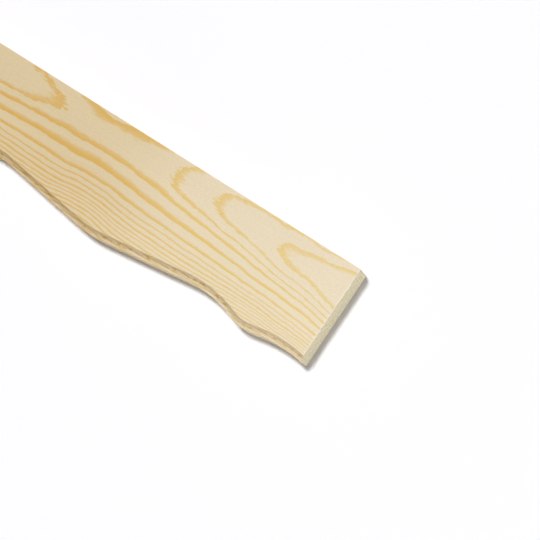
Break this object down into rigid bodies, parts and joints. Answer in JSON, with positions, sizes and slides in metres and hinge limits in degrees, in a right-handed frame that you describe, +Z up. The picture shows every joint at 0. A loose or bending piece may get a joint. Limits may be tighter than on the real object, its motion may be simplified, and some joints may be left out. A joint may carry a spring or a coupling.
{
  "type": "scalloped pine moulding strip",
  "caption": "Flat pine board with one straight edge and one scalloped edge that carries a quarter-round hollow, cut square at both ends.",
  "frame": {"origin": "bottom centre of the strip's box, on the back face", "axes": "+X along the strip towards the end that is cut nearest an arch, +Y across it towards the straight edge, +Z up through the moulded face"},
  "size_m": [2.4, 0.08, 0.02],
  "materials": {
    "pine": "planed and sanded, unfinished"
  },
  "bodies": {
    "root": {"moulding_strip": "pine"}
  },
  "joints": []
}
